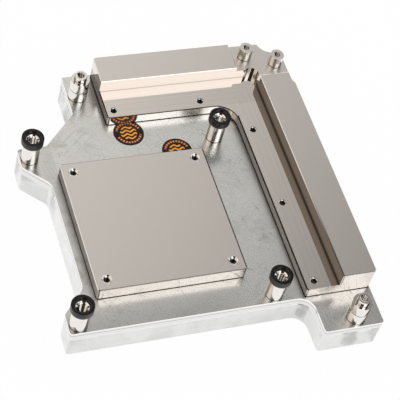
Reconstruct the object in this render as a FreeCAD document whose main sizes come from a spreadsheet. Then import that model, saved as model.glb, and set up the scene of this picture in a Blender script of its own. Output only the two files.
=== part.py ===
"""Liquid cooling cold plate for a desktop processor and its voltage regulators.

The plate lies with its contact side up. A nickel-plated copper base carries the raised processor
pad and the L-shaped regulator block, a clear acrylic body below it holds the coolant channels,
and threaded standoffs hold the circuit board that the plate cools.

X runs along the short regulator bar, Y along the long one and Z up. The origin is the middle of
the outline on the underside. Profiles are drawn about the processor's axis.
"""

import FreeCAD, Part
import math
import os
import Sketcher

from FreeCAD import Vector

SIZES = {
    # clear coolant body and metal base, stacked on each other
    "acrylic_thickness": 10.4,
    "base_thickness": 3.7,
    "edge_chamfer": 0.5,
    "edge_break": 0.25,
    # outline, measured from the processor's axis
    "arm_reach": 41.3,
    "right_reach": 75.0,
    "back_reach": 75.4,
    "foot_reach": 57.0,
    "foot_left": 51.3,
    "tab_left": 15.6,
    "tab_front": 56.4,
    "arm_back": 42.2,
    "arm_inner_back": 33.6,
    "arm_inner_front": 32.8,
    "waist": 32.0,
    "corner_radius": 1.0,
    "arm_radius": 1.6,
    "waist_radius": 5.0,
    "tab_radius": 2.6,
    "foot_radius": 6.0,
    "notch_radius": 6.1,
    "notch_from_right": 2.6,
    "notch_past_back": 1.0,
    # processor pad
    "pad_side": 57.5,
    "pad_height": 5.6,
    "pad_corner": 1.2,
    # L-shaped regulator block: floor, short bar, corner shelf and long bar
    "block_left": 4.0,
    "block_front": 41.2,
    "floor_inner_x": 48.4,
    "floor_inner_y": 48.9,
    "floor_height": 4.5,
    "floor_corner": 8.3,
    "block_corner": 1.2,
    "wall_x": 61.3,
    "wall_y": 62.4,
    "wall_corner": 3.0,
    "wall_corner_in": 2.0,
    "short_bar_right": 53.3,
    "short_bar_height": 10.4,
    "shelf_height": 8.5,
    "long_bar_height": 10.8,
    "long_bar_back": 59.6,
    "relief_width": 0.9,
    "relief_front": 51.5,
    "relief_slope": 1.9,
    # screws that hold the two bodies together, in from the acrylic side
    "screw_length": 14.0,
    "clamp_screw_length": 16.0,
    "screw_diameter": 3.0,
    "screw_head": 5.5,
    "screw_head_height": 1.65,
    "socket_width": 2.0,
    "socket_depth": 1.0,
    "screw_recess": 0.75,
    "thread_clearance": 0.05,
    "hole_clearance": 0.2,
    "head_clearance": 0.35,
    "hole_chamfer": 0.35,
    "pad_screw_inset": 4.45,
    "floor_screw_inset_y": 3.5,
    "floor_screw_inset_x": 4.1,
    "floor_screw_from_left": 3.4,
    "floor_screw_from_corner": 13.0,
    "floor_screw_from_front": 3.8,
    "floor_screw_pitch": 36.3,
    # processor standoffs with their soft bushings
    "cooler_square": 75.0,
    "board_gap": 12.65,
    "standoff_diameter": 6.8,
    "neck_diameter": 5.2,
    "neck_recess": 1.25,
    "bushing_diameter": 8.56,
    "bushing_thickness": 3.0,
    "bushing_clearance": 0.05,
    "bushing_round": 0.45,
    "standoff_bore": 3.3,
    "standoff_bore_depth": 8.0,
    "stud_diameter": 3.8,
    "stud_length": 2.8,
    "stud_clearance": 0.05,
    "stud_end_gap": 0.2,
    "bore_chamfer": 0.35,
    # shouldered standoffs on the tab and on the foot
    "shoulder_diameter": 7.5,
    "shoulder_height": 9.0,
    "tip_diameter": 4.9,
    "shouldered_height": 12.2,
    "seam_height": 5.2,
    "seam_width": 0.3,
    "seam_depth": 0.15,
    "tip_bore": 2.8,
    "shouldered_bore_depth": 5.5,
    "tab_standoff_from_left": 4.0,
    "tab_standoff_from_back": 10.0,
    "foot_standoff_from_right": 10.0,
    "foot_standoff_from_front": 4.5,
    # short standoffs on the corner shelf
    "short_diameter": 5.55,
    "short_height": 5.2,
    "short_bore": 2.4,
    "short_bore_depth": 4.0,
    "short_stud_diameter": 2.9,
    "short_stud_length": 3.5,
    "shelf_standoff_from_short_bar": 5.7,
    "shelf_standoff_from_back": 5.6,
    "shelf_standoff_from_long_bar": 5.0,
    "shelf_standoff_from_right": 4.25,
    # coolant side: fins, jet plate, channels, seal and ports
    "fin_pitch": 1.2,
    "fin_slot": 0.6,
    "fin_depth": 3.0,
    "fin_end_gap": 3.1,
    "fin_slots": 24,
    "channel_depth": 4.0,
    "ring_gap_x": 4.9,
    "ring_gap_y": 2.9,
    "jet_thickness": 0.8,
    "jet_slot_end": 1.5,
    "jet_slot_width": 1.2,
    "jet_seat_clearance": 0.1,
    "jet_rim": 1.2,
    "plenum_side_x": 5.8,
    "plenum_side_y": 2.0,
    "flow_corner": 1.5,
    "bar_channel_depth": 5.5,
    "seal_pad_margin": 4.0,
    "corridor_left": 5.0,
    "seal_block_margin": 2.4,
    "seal_floor_margin": 5.2,
    "seal_front_margin": 4.6,
    "seal_diagonal": 11.4,
    "seal_corner": 2.6,
    "groove_width": 2.0,
    "groove_depth": 1.5,
    "seal_clearance": 0.1,
    "seal_to_channel": 1.2,
    "port_bore": 11.45,
    "port_overlap": 0.3,
    "port_face": 17.8,
    "port_face_depth": 0.4,
    "outlet_y": 27.5,
    # round labels on the metal base
    "label_thickness": 0.15,
    "label_diameter": 12.2,
    "first_label_x": 3.8,
    "first_label_y": 44.0,
    "second_label_x": 20.6,
    "second_label_y": 32.5,
    "label_gap": 0.1,
}

doc = FreeCAD.newDocument("ColdPlate")
sheet = doc.addObject("Spreadsheet::Sheet", "Dimensions")
for row, (alias, number) in enumerate(SIZES.items(), start=1):
    sheet.set("A%d" % row, alias)
    sheet.set("B%d" % row, str(number))
    sheet.setAlias("B%d" % row, alias)
doc.recompute()


class Size:
    """A length that keeps its value together with the expression that gives it."""

    def __init__(self, value, text):
        self.value = value
        self.text = text

    @staticmethod
    def wrap(other):
        if isinstance(other, Size):
            return other
        return Size(float(other), repr(float(other)))

    def __add__(self, other):
        other = Size.wrap(other)
        return Size(self.value + other.value, "(%s + %s)" % (self.text, other.text))

    def __radd__(self, other):
        return Size.wrap(other) + self

    def __sub__(self, other):
        other = Size.wrap(other)
        return Size(self.value - other.value, "(%s - %s)" % (self.text, other.text))

    def __rsub__(self, other):
        return Size.wrap(other) - self

    def __mul__(self, other):
        other = Size.wrap(other)
        return Size(self.value * other.value, "(%s * %s)" % (self.text, other.text))

    def __rmul__(self, other):
        return Size.wrap(other) * self

    def __truediv__(self, other):
        other = Size.wrap(other)
        return Size(self.value / other.value, "(%s / %s)" % (self.text, other.text))

    def __neg__(self):
        return Size(-self.value, "(-1 * %s)" % self.text)


def size(alias):
    """The named cell of the spreadsheet as a Size."""
    return Size(float(sheet.get(alias)), "Dimensions." + alias)


ZERO = Size(0.0, "0")

# Levels above the underside, and the processor's axis in the part's frame.
joint = size("acrylic_thickness")
base_top = joint + size("base_thickness")
pad_top = base_top + size("pad_height")
floor_top = base_top + size("floor_height")
shelf_top = base_top + size("shelf_height")
left_reach = (size("cooler_square") + size("bushing_diameter")) / 2
cpu_x = (left_reach - size("right_reach")) / 2
cpu_y = (size("foot_reach") - size("back_reach")) / 2


def new_body(label, x=ZERO, y=ZERO, z=ZERO):
    """An empty body, named after its file, at a point given from the processor's axis."""
    body = doc.addObject("PartDesign::Body", label)
    body.Label = label
    body.setExpression("Placement.Base.x", (cpu_x + x).text)
    body.setExpression("Placement.Base.y", (cpu_y + y).text)
    body.setExpression("Placement.Base.z", z.text)
    return body


def origin_plane(body, role):
    """The origin plane of a body that has the given role."""
    for feature in body.Origin.OriginFeatures:
        if feature.Role == role:
            return feature
    raise ValueError("no origin plane " + role)


def sketch_on(body, name, role, level=ZERO):
    """A sketch on an origin plane of the body, moved along the plane's normal by a level."""
    sketch = body.newObject("Sketcher::SketchObject", name)
    sketch.AttachmentSupport = (origin_plane(body, role), [""])
    sketch.MapMode = "FlatFace"
    sketch.setExpression("AttachmentOffset.Base.z", level.text)
    return sketch


def pin(sketch, geometry, position, x, y):
    """Holds a point of a sketch at x, y from the sketch's origin."""
    for kind, distance, axis in (("DistanceX", x, -2), ("DistanceY", y, -1)):
        if distance.text == ZERO.text:
            sketch.addConstraint(Sketcher.Constraint("PointOnObject", geometry, position, axis))
        else:
            constraint = Sketcher.Constraint(kind, -1, 1, geometry, position, distance.value)
            index = sketch.addConstraint(constraint)
            sketch.setExpression("Constraints[%d]" % index, distance.text)


def unit(start, end):
    """The direction from one point to another."""
    return end.sub(start).normalize()


def corner_arc(point, back, ahead, radius):
    """The tangent points of a rounded corner and its arc, drawn counter-clockwise."""
    half = back.getAngle(ahead) / 2
    reach = radius / math.tan(half)
    enter = point + back * reach
    leave = point + ahead * reach
    centre = point + (back + ahead).normalize() * (radius / math.sin(half))
    turns_left = back.cross(ahead).z < 0
    first, last = (enter, leave) if turns_left else (leave, enter)
    start = math.atan2(first.y - centre.y, first.x - centre.x)
    end = math.atan2(last.y - centre.y, last.x - centre.x)
    if end < start:
        end += 2 * math.pi
    arc = Part.ArcOfCircle(Part.Circle(centre, Vector(0, 0, 1), radius), start, end)
    return enter, leave, arc, turns_left


def draw_outline(sketch, corners):
    """Draws a closed outline through corners (x, y, radius), with an arc at each round one."""
    points = [Vector(x.value, y.value, 0) for x, y, radius in corners]
    count = len(corners)
    ends = []
    for index, (x, y, radius) in enumerate(corners):
        back = unit(points[index], points[index - 1])
        ahead = unit(points[index], points[(index + 1) % count])
        if radius.value > 0:
            ends.append(corner_arc(points[index], back, ahead, radius.value))
        else:
            ends.append((points[index], points[index], None, True))
    lines = []
    for index in range(count):
        run = Part.LineSegment(ends[index][1], ends[(index + 1) % count][0])
        lines.append(sketch.addGeometry(run, False))
    for index, (x, y, radius) in enumerate(corners):
        before = lines[index - 1]
        following = lines[index]
        shape = ends[index][2]
        if shape is None:
            sketch.addConstraint(Sketcher.Constraint("Coincident", before, 2, following, 1))
            pin(sketch, following, 1, x, y)
            continue
        arc = sketch.addGeometry(shape, False)
        first, last = (1, 2) if ends[index][3] else (2, 1)
        corner = sketch.addGeometry(Part.Point(points[index]), True)
        sketch.addConstraint(Sketcher.Constraint("Tangent", before, 2, arc, first))
        sketch.addConstraint(Sketcher.Constraint("Tangent", arc, last, following, 1))
        sketch.addConstraint(Sketcher.Constraint("PointOnObject", corner, 1, before))
        sketch.addConstraint(Sketcher.Constraint("PointOnObject", corner, 1, following))
        pin(sketch, corner, 1, x, y)
        rounding = sketch.addConstraint(Sketcher.Constraint("Radius", arc, radius.value))
        sketch.setExpression("Constraints[%d]" % rounding, radius.text)


def draw_circle(sketch, x, y, diameter):
    """Draws a circle about a point."""
    shape = Part.Circle(Vector(x.value, y.value, 0), Vector(0, 0, 1), diameter.value / 2)
    index = sketch.addGeometry(shape, False)
    pin(sketch, index, 3, x, y)
    across = sketch.addConstraint(Sketcher.Constraint("Diameter", index, diameter.value))
    sketch.setExpression("Constraints[%d]" % across, diameter.text)


def draw(sketch, profile):
    """Draws a list of corners as an outline and a tuple of sizes as a circle."""
    if isinstance(profile, list):
        draw_outline(sketch, profile)
    else:
        draw_circle(sketch, *profile)


def rectangle(left, front, right, back, radius=ZERO):
    """The corners of an upright rectangle, counter-clockwise from the front left."""
    return [(left, front, radius), (right, front, radius), (right, back, radius), (left, back, radius)]


def grow(corners, distance):
    """Moves every run of an outline outwards by a distance and keeps the runs parallel."""
    points = [Vector(x.value, y.value, 0) for x, y, radius in corners]
    moved = []
    for index, (x, y, radius) in enumerate(corners):
        enter = unit(points[index - 1], points[index])
        leave = unit(points[index], points[(index + 1) % len(points)])
        share = 1 + enter.dot(leave)
        shift_x = round((enter.y + leave.y) / share, 6)
        shift_y = round(-(enter.x + leave.x) / share, 6)
        turns_left = enter.cross(leave).z > 0
        new_radius = radius + distance if turns_left else radius - distance
        moved.append((x + shift_x * distance, y + shift_y * distance, new_radius))
    return moved


def raise_profiles(body, name, level, height, *profiles):
    """Pads closed profiles up from a level; a profile inside another one is a hole."""
    sketch = sketch_on(body, name + "_sketch", "XY_Plane", level)
    for profile in profiles:
        draw(sketch, profile)
    doc.recompute()
    feature = body.newObject("PartDesign::Pad", name)
    feature.Profile = sketch
    feature.setExpression("Length", height.text)
    doc.recompute()
    return feature


def cut_profiles(body, name, level, depth, *profiles, upwards=False):
    """Pockets closed profiles down from a level, or up from it."""
    before = body.Shape.Volume
    sketch = sketch_on(body, name + "_sketch", "XY_Plane", level)
    for profile in profiles:
        draw(sketch, profile)
    doc.recompute()
    feature = body.newObject("PartDesign::Pocket", name)
    feature.Profile = sketch
    feature.setExpression("Length", depth.text)
    feature.Reversed = upwards
    doc.recompute()
    if not body.Shape.Volume < before:
        raise ValueError(name + " cuts nothing")
    return feature


def turn(body, name, corners):
    """Turns a closed outline of (radius, height, round) corners about the body's Z axis."""
    sketch = sketch_on(body, name + "_sketch", "XZ_Plane")
    draw_outline(sketch, corners)
    doc.recompute()
    feature = body.newObject("PartDesign::Revolution", name)
    feature.Profile = sketch
    feature.ReferenceAxis = (sketch, ["V_Axis"])
    feature.Angle = 360
    doc.recompute()
    return feature


def chamfer_level(body, name, level, width, accept):
    """Chamfers the accepted edges of the body that lie flat at a level."""
    tip = body.Tip
    names = []
    for number, edge in enumerate(tip.Shape.Edges, start=1):
        box = edge.BoundBox
        flat = abs(box.ZMin - level.value) < 1e-4 and abs(box.ZMax - level.value) < 1e-4
        if flat and accept(tip.Shape, edge):
            names.append("Edge%d" % number)
    feature = body.newObject("PartDesign::Chamfer", name)
    feature.Base = (tip, names)
    feature.setExpression("Size", width.text)
    doc.recompute()
    return feature


def any_edge(shape, edge):
    """Accepts every edge."""
    return True


def hole_mouth(shape, edge):
    """Accepts full circles."""
    return edge.Curve.TypeId == "Part::GeomCircle" and edge.isClosed()


def wall_cap(shape, edge):
    """Accepts the edges on top of a wall: one of their faces lies wholly below them."""
    level = edge.BoundBox.ZMax
    for face in shape.Faces:
        box = face.BoundBox
        below = box.ZMax < level + 1e-4 and box.ZMin < level - 1e-2
        if below and any(edge.isSame(other) for other in face.Edges):
            return True
    return False


def plate_outline():
    """The outline that the metal base and the acrylic body share, from the front left corner."""
    reach = size("arm_reach")
    step = reach - size("waist")
    corner = size("corner_radius")
    diagonal_run = size("tab_front") - size("arm_back")
    return [
        (-reach, -reach, corner),
        (size("foot_left"), -reach, size("foot_radius")),
        (size("foot_left"), -size("foot_reach"), corner),
        (size("right_reach"), -size("foot_reach"), corner),
        (size("right_reach"), size("back_reach"), corner),
        (-size("tab_left"), size("back_reach"), corner),
        (-size("tab_left"), size("tab_front"), size("tab_radius")),
        (-size("tab_left") - diagonal_run, size("arm_back"), size("tab_radius")),
        (-reach, size("arm_back"), corner),
        (-reach, size("arm_inner_back"), size("arm_radius")),
        (-size("waist"), size("arm_inner_back") - step, size("waist_radius")),
        (-size("waist"), step - size("arm_inner_front"), size("waist_radius")),
        (-reach, -size("arm_inner_front"), size("arm_radius")),
    ]


def corner_notch():
    """The round bite out of the outline's back right corner."""
    return (size("right_reach") - size("notch_from_right"),
            size("back_reach") + size("notch_past_back"),
            size("notch_radius") * 2)


def add_slab(body, thickness):
    """The outline shared by both bodies, raised to a thickness."""
    raise_profiles(body, "slab", ZERO, thickness, plate_outline())


def pad_screw_reach():
    """Half the square of screws in the processor pad."""
    return size("pad_side") / 2 - size("pad_screw_inset")


def floor_screw_lines():
    """The x of the screws beside the long bar and the y of those beside the short bar."""
    return (size("floor_inner_x") + size("floor_screw_inset_x"),
            size("floor_inner_y") + size("floor_screw_inset_y"))


def seal_path():
    """The middle line of the seal: round the chamber, up a corridor and round the two bars."""
    line = pad_screw_reach() - size("seal_pad_margin")
    screw_x, screw_y = floor_screw_lines()
    inner_x = screw_x + size("seal_floor_margin")
    inner_y = screw_y + size("seal_floor_margin")
    right = size("right_reach") - size("seal_block_margin")
    back = size("back_reach") - size("seal_block_margin")
    left = size("seal_block_margin") - size("block_left")
    front = size("seal_front_margin") - size("block_front")
    corridor = size("corridor_left")
    cut = size("seal_diagonal")
    points = [
        (-line, -line), (line, -line), (line, inner_y), (inner_x, inner_y), (inner_x, front),
        (right, front), (right, back - cut), (right - cut, back), (left, back), (left, inner_y),
        (corridor, inner_y), (corridor, line), (-line, line),
    ]
    return [(x, y, size("seal_corner")) for x, y in points]


def channel_corners():
    """The seal's middle line moved in to the edge of the coolant channels."""
    return grow(seal_path(), -(size("groove_width") / 2 + size("seal_to_channel")))


def flow_outline(first, last):
    """The channel edge from one of its corners to another, with the channels' own radius."""
    return [(x, y, size("flow_corner")) for x, y, radius in channel_corners()[first:last]]


def island_half():
    """Half the island that carries the jet plate, inside the channel around it."""
    edge = channel_corners()[1][0]
    return edge - size("ring_gap_x"), edge - size("ring_gap_y")


def jet_half():
    """Half the jet plate, inside the island's rim."""
    x, y = island_half()
    return x - size("jet_rim"), y - size("jet_rim")


def pad_screws():
    """Screw axes in the corners of the processor pad."""
    half = pad_screw_reach()
    return [(-half, -half), (half, -half), (half, half), (-half, half)]


def floor_screws():
    """Screw axes along the floor of the regulator block."""
    x, y = floor_screw_lines()
    front = size("floor_screw_from_front") - size("block_front")
    pitch = size("floor_screw_pitch")
    return [
        (size("floor_screw_from_left") - size("block_left"), y),
        (size("floor_inner_x") - size("floor_screw_from_corner"), y),
        (x, front + 2 * pitch),
        (x, front + pitch),
        (x, front),
    ]


def shouldered_places():
    """Axes of the two shouldered standoffs, each held by a screw of its own."""
    return [(size("tab_standoff_from_left") - size("tab_left"),
             size("back_reach") - size("tab_standoff_from_back")),
            (size("right_reach") - size("foot_standoff_from_right"),
             size("foot_standoff_from_front") - size("foot_reach"))]


def cooler_corners():
    """The square of processor standoffs."""
    half = size("cooler_square") / 2
    return [(-half, -half), (half, -half), (half, half), (-half, half)]


def shelf_places():
    """The two short standoffs on the corner shelf."""
    return [(size("short_bar_right") + size("shelf_standoff_from_short_bar"),
             size("back_reach") - size("shelf_standoff_from_back")),
            (size("right_reach") - size("shelf_standoff_from_right"),
             size("long_bar_back") + size("shelf_standoff_from_long_bar"))]


def circles(places, diameter):
    """Circles of one diameter at several places."""
    return [(x, y, diameter) for x, y in places]


def build_base():
    """The machined base: plate, processor pad, regulator block, holes, fins and bar channel."""
    body = new_body("cold_plate_base", z=joint)
    top = size("base_thickness")
    pad_level = top + size("pad_height")
    floor_level = top + size("floor_height")
    shelf_level = top + size("shelf_height")
    short_level = top + size("short_bar_height")
    long_level = top + size("long_bar_height")
    right = size("right_reach")
    back = size("back_reach")
    front = -size("block_front")
    left = -size("block_left")
    wall_x = size("wall_x")
    wall_y = size("wall_y")
    corner = size("block_corner")

    add_slab(body, top)
    half = size("pad_side") / 2
    raise_profiles(body, "processor_pad", top, size("pad_height"),
                   rectangle(-half, -half, half, half, size("pad_corner")))
    inner_x = size("floor_inner_x")
    inner_y = size("floor_inner_y")
    raise_profiles(body, "block_floor", top, size("floor_height"), [
        (left, inner_y, corner), (inner_x, inner_y, size("floor_corner")), (inner_x, front, corner),
        (right, front, corner), (right, back, corner), (left, back, corner)])
    raise_profiles(body, "corner_shelf", top, size("shelf_height"), [
        (left, wall_y, ZERO), (wall_x, wall_y, ZERO), (wall_x, front, ZERO),
        (right, front, corner), (right, back, ZERO), (left, back, corner)])
    raise_profiles(body, "short_bar", top, size("short_bar_height"), [
        (left, wall_y, ZERO), (size("short_bar_right"), wall_y, ZERO),
        (size("short_bar_right"), back, ZERO), (left, back, corner)])

    bar_back = size("long_bar_back")
    raise_profiles(body, "long_bar", top, size("long_bar_height"), [
        (wall_x, front, ZERO), (right, front, corner), (right, bar_back, ZERO), (wall_x, bar_back, ZERO)])

    ramp_height = size("long_bar_height") - size("shelf_height")
    ramp = sketch_on(body, "bar_ramp_sketch", "YZ_Plane", wall_x)
    draw_outline(ramp, [
        (bar_back, shelf_level, ZERO), (bar_back, long_level, ZERO),
        (bar_back - ramp_height, long_level, ZERO)])
    doc.recompute()
    bar_ramp = body.newObject("PartDesign::Pocket", "bar_ramp")
    bar_ramp.Profile = ramp
    bar_ramp.setExpression("Length", (right - wall_x).text)
    bar_ramp.Reversed = True
    doc.recompute()

    relief = size("relief_width")
    relief_front = size("relief_front")
    cut_profiles(body, "bar_relief", long_level, ramp_height, [
        (right, relief_front, ZERO), (right + relief, relief_front, ZERO),
        (right + relief, bar_back, ZERO), (right - relief, bar_back, ZERO),
        (right - relief, relief_front + size("relief_slope"), ZERO)])
    inset = size("wall_corner_in")
    cut_profiles(body, "wall_corner", long_level, long_level - floor_level,
                 (wall_x - inset, wall_y - inset, size("wall_corner") * 2))
    cut_profiles(body, "notch", long_level, long_level, corner_notch())

    chamfer_level(body, "seam_break", ZERO, size("edge_break"), any_edge)
    for name, level in (("pad_break", pad_level), ("floor_break", floor_level),
                        ("short_bar_break", short_level), ("long_bar_break", long_level)):
        chamfer_level(body, name, level, size("edge_break"), wall_cap)

    tapped = size("screw_diameter") + 2 * size("thread_clearance")
    cut_profiles(body, "pad_screw_holes", pad_level, pad_level, *circles(pad_screws(), tapped))
    cut_profiles(body, "floor_screw_holes", floor_level, floor_level, *circles(floor_screws(), tapped))
    chamfer_level(body, "pad_hole_mouths", pad_level, size("hole_chamfer"), hole_mouth)
    clear = size("screw_diameter") + 2 * size("hole_clearance")
    cut_profiles(body, "clamp_holes", top, top, *circles(shouldered_places(), clear))
    stud_hole = size("stud_diameter") + 2 * size("stud_clearance")
    cut_profiles(body, "standoff_holes", top, size("stud_length") + size("stud_end_gap"),
                 *circles(cooler_corners(), stud_hole))
    shelf_hole = size("short_stud_diameter") + 2 * size("stud_clearance")
    cut_profiles(body, "shelf_holes", shelf_level, size("short_stud_length") + size("stud_end_gap"),
                 *circles(shelf_places(), shelf_hole))

    cut_profiles(body, "bar_channel", ZERO, size("bar_channel_depth"), flow_outline(3, 10), upwards=True)
    span = size("fin_pitch") * (size("fin_slots") - 1)
    reach = channel_corners()[1][0] - size("fin_end_gap")
    slot = size("fin_slot") / 2
    first = cut_profiles(body, "fin_slot", ZERO, size("fin_depth"),
                         rectangle(-reach, -span / 2 - slot, reach, slot - span / 2), upwards=True)
    fins = body.newObject("PartDesign::LinearPattern", "fins")
    fins.Originals = [first]
    fins.Direction = (first.Profile[0], ["V_Axis"])
    fins.setExpression("Length", span.text)
    fins.setExpression("Occurrences", size("fin_slots").text)
    body.Tip = fins
    doc.recompute()
    return body


def build_acrylic():
    """The clear body: channels, island for the jet plate, seal groove, screw seats and ports."""
    body = new_body("acrylic_body")
    add_slab(body, joint)
    cut_profiles(body, "notch", joint, joint, corner_notch())
    chamfer_level(body, "upper_edge", joint, size("edge_chamfer"), any_edge)
    chamfer_level(body, "lower_edge", ZERO, size("edge_chamfer"), any_edge)

    island_x, island_y = island_half()
    island = rectangle(-island_x, -island_y, island_x, island_y, size("flow_corner"))
    cut_profiles(body, "channels", joint, size("channel_depth"), flow_outline(0, 13), island)
    jet_x, jet_y = jet_half()
    seat_x = jet_x + size("jet_seat_clearance")
    seat_y = jet_y + size("jet_seat_clearance")
    cut_profiles(body, "jet_seat", joint, size("jet_thickness"),
                 rectangle(-seat_x, -seat_y, seat_x, seat_y))
    plenum_x = jet_x - size("plenum_side_x")
    plenum_y = jet_y - size("plenum_side_y")
    cut_profiles(body, "plenum", joint, size("channel_depth"),
                 rectangle(-plenum_x, -plenum_y, plenum_x, plenum_y, size("flow_corner")))
    groove = size("groove_width") / 2
    cut_profiles(body, "seal_groove", joint, size("groove_depth"),
                 grow(seal_path(), groove), grow(seal_path(), -groove))

    edge = channel_corners()
    outlet_x = (edge[4][0] + edge[5][0]) / 2
    ports = [(ZERO, ZERO), (outlet_x, -size("outlet_y"))]
    port_depth = joint - size("channel_depth") + size("port_overlap")
    cut_profiles(body, "ports", ZERO, port_depth, *circles(ports, size("port_bore")), upwards=True)
    cut_profiles(body, "port_faces", ZERO, size("port_face_depth"),
                 *circles(ports, size("port_face")), upwards=True)

    screws = pad_screws() + floor_screws() + shouldered_places()
    clear = size("screw_diameter") + 2 * size("hole_clearance")
    seat = size("screw_head") + 2 * size("head_clearance")
    cut_profiles(body, "screw_holes", ZERO, joint, *circles(screws, clear), upwards=True)
    cut_profiles(body, "screw_seats", ZERO, size("screw_recess") + size("screw_head_height"),
                 *circles(screws, seat), upwards=True)
    return body


def build_seal():
    """The rubber cord in the groove, which keeps both bodies tight."""
    body = new_body("seal_ring", z=joint - size("groove_depth"))
    half = size("groove_width") / 2 - size("seal_clearance")
    raise_profiles(body, "cord", ZERO, size("groove_depth"),
                   grow(seal_path(), half), grow(seal_path(), -half))
    return body


def build_jet_plate():
    """The slotted plate that spreads the incoming coolant over the middle of the fins."""
    body = new_body("jet_plate", z=joint - size("jet_thickness"))
    x, y = jet_half()
    slot_x = size("jet_slot_width") / 2
    slot_y = y - size("jet_slot_end")
    raise_profiles(body, "plate", ZERO, size("jet_thickness"), rectangle(-x, -y, x, y),
                   rectangle(-slot_x, -slot_y, slot_x, slot_y, slot_x * 0.9))
    return body


def build_screw(label, x, y, length):
    """A round-headed socket screw that stands on its head."""
    body = new_body(label, x, y, size("screw_recess"))
    head = size("screw_head") / 2
    shank = size("screw_diameter") / 2
    head_height = size("screw_head_height")
    tip = head_height + length
    lead = size("edge_break")
    turn(body, "screw", [
        (ZERO, ZERO, ZERO), (head, ZERO, head_height * 0.6), (head, head_height, ZERO),
        (shank, head_height, ZERO), (shank, tip - lead, ZERO), (shank - lead, tip, ZERO),
        (ZERO, tip, ZERO)])
    flat = size("socket_width") / 2
    point = size("socket_width") / math.sqrt(3)
    cut_profiles(body, "socket", ZERO, size("socket_depth"), [
        (point, ZERO, ZERO), (point / 2, flat, ZERO), (-point / 2, flat, ZERO),
        (-point, ZERO, ZERO), (-point / 2, -flat, ZERO), (point / 2, -flat, ZERO)], upwards=True)
    return body


def build_cooler_standoff(label, x, y):
    """A threaded standoff with a stud below and a thin neck for its bushing."""
    body = new_body(label, x, y, base_top)
    outer = size("standoff_diameter") / 2
    neck = size("neck_diameter") / 2
    bore = size("standoff_bore") / 2
    stud = size("stud_diameter") / 2
    shoulder = size("board_gap") - size("bushing_thickness")
    top = size("board_gap") - size("neck_recess")
    bevel = size("bore_chamfer")
    turn(body, "standoff", [
        (ZERO, -size("stud_length"), ZERO), (stud, -size("stud_length"), ZERO), (stud, ZERO, ZERO),
        (outer, ZERO, ZERO), (outer, shoulder, ZERO), (neck, shoulder, ZERO), (neck, top, ZERO),
        (bore + bevel, top, ZERO), (bore, top - bevel, ZERO),
        (bore, top - size("standoff_bore_depth"), ZERO), (ZERO, top - size("standoff_bore_depth"), ZERO)])
    return body


def build_bushing(label, x, y):
    """The soft ring between a processor standoff and the circuit board."""
    thickness = size("bushing_thickness")
    body = new_body(label, x, y, base_top + size("board_gap") - thickness)
    outer = size("bushing_diameter") / 2
    inner = size("neck_diameter") / 2 + size("bushing_clearance")
    rounding = size("bushing_round")
    turn(body, "bushing", [
        (inner, ZERO, ZERO), (outer, ZERO, rounding), (outer, thickness, rounding), (inner, thickness, ZERO)])
    return body


def build_shouldered_standoff(label, x, y):
    """A standoff tapped at both ends, with a shoulder, a thin tip and a seam round its body."""
    body = new_body(label, x, y, base_top)
    outer = size("shoulder_diameter") / 2
    tip = size("tip_diameter") / 2
    tip_bore = size("tip_bore") / 2
    foot_bore = size("screw_diameter") / 2 + size("thread_clearance")
    screw_tip = size("screw_recess") + size("screw_head_height") + size("clamp_screw_length")
    foot_end = screw_tip + size("stud_end_gap") - base_top
    height = size("shouldered_height")
    shoulder = size("shoulder_height")
    bore_end = height - size("shouldered_bore_depth")
    seam = size("seam_height")
    half = size("seam_width") / 2
    groove = outer - size("seam_depth")
    bevel = size("edge_break")
    turn(body, "standoff", [
        (foot_bore, ZERO, ZERO), (outer, ZERO, ZERO), (outer, seam - half, ZERO),
        (groove, seam - half, ZERO), (groove, seam + half, ZERO), (outer, seam + half, ZERO),
        (outer, shoulder - bevel, ZERO), (outer - bevel, shoulder, ZERO), (tip, shoulder, ZERO),
        (tip, height - bevel, ZERO), (tip - bevel, height, ZERO), (tip_bore + bevel, height, ZERO),
        (tip_bore, height - bevel, ZERO), (tip_bore, bore_end, ZERO), (ZERO, bore_end, ZERO),
        (ZERO, foot_end, ZERO), (foot_bore, foot_end, ZERO)])
    return body


def build_short_standoff(label, x, y):
    """A low standoff with a stud, for the corner shelf."""
    body = new_body(label, x, y, shelf_top)
    outer = size("short_diameter") / 2
    bore = size("short_bore") / 2
    stud = size("short_stud_diameter") / 2
    height = size("short_height")
    depth = size("short_bore_depth")
    bevel = size("edge_break")
    turn(body, "standoff", [
        (ZERO, -size("short_stud_length"), ZERO), (stud, -size("short_stud_length"), ZERO),
        (stud, ZERO, ZERO), (outer, ZERO, ZERO), (outer, height - bevel, ZERO),
        (outer - bevel, height, ZERO), (bore + bevel, height, ZERO), (bore, height - bevel, ZERO),
        (bore, height - depth, ZERO), (ZERO, height - depth, ZERO)])
    return body


def build_label(label, x, y, wall_side, wall):
    """A round label, trimmed straight where a wall of the base stands in its way."""
    body = new_body(label, x, y, base_top)
    diameter = size("label_diameter")
    raise_profiles(body, "disc", ZERO, size("label_thickness"), (ZERO, ZERO, diameter))
    trim = (wall - y) - size("label_gap") * wall_side
    far = diameter * wall_side
    front, back = (trim, far) if wall_side > 0 else (far, trim)
    cut_profiles(body, "trim", size("label_thickness"), size("label_thickness"),
                 rectangle(-diameter, front, diameter, back))
    return body


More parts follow.
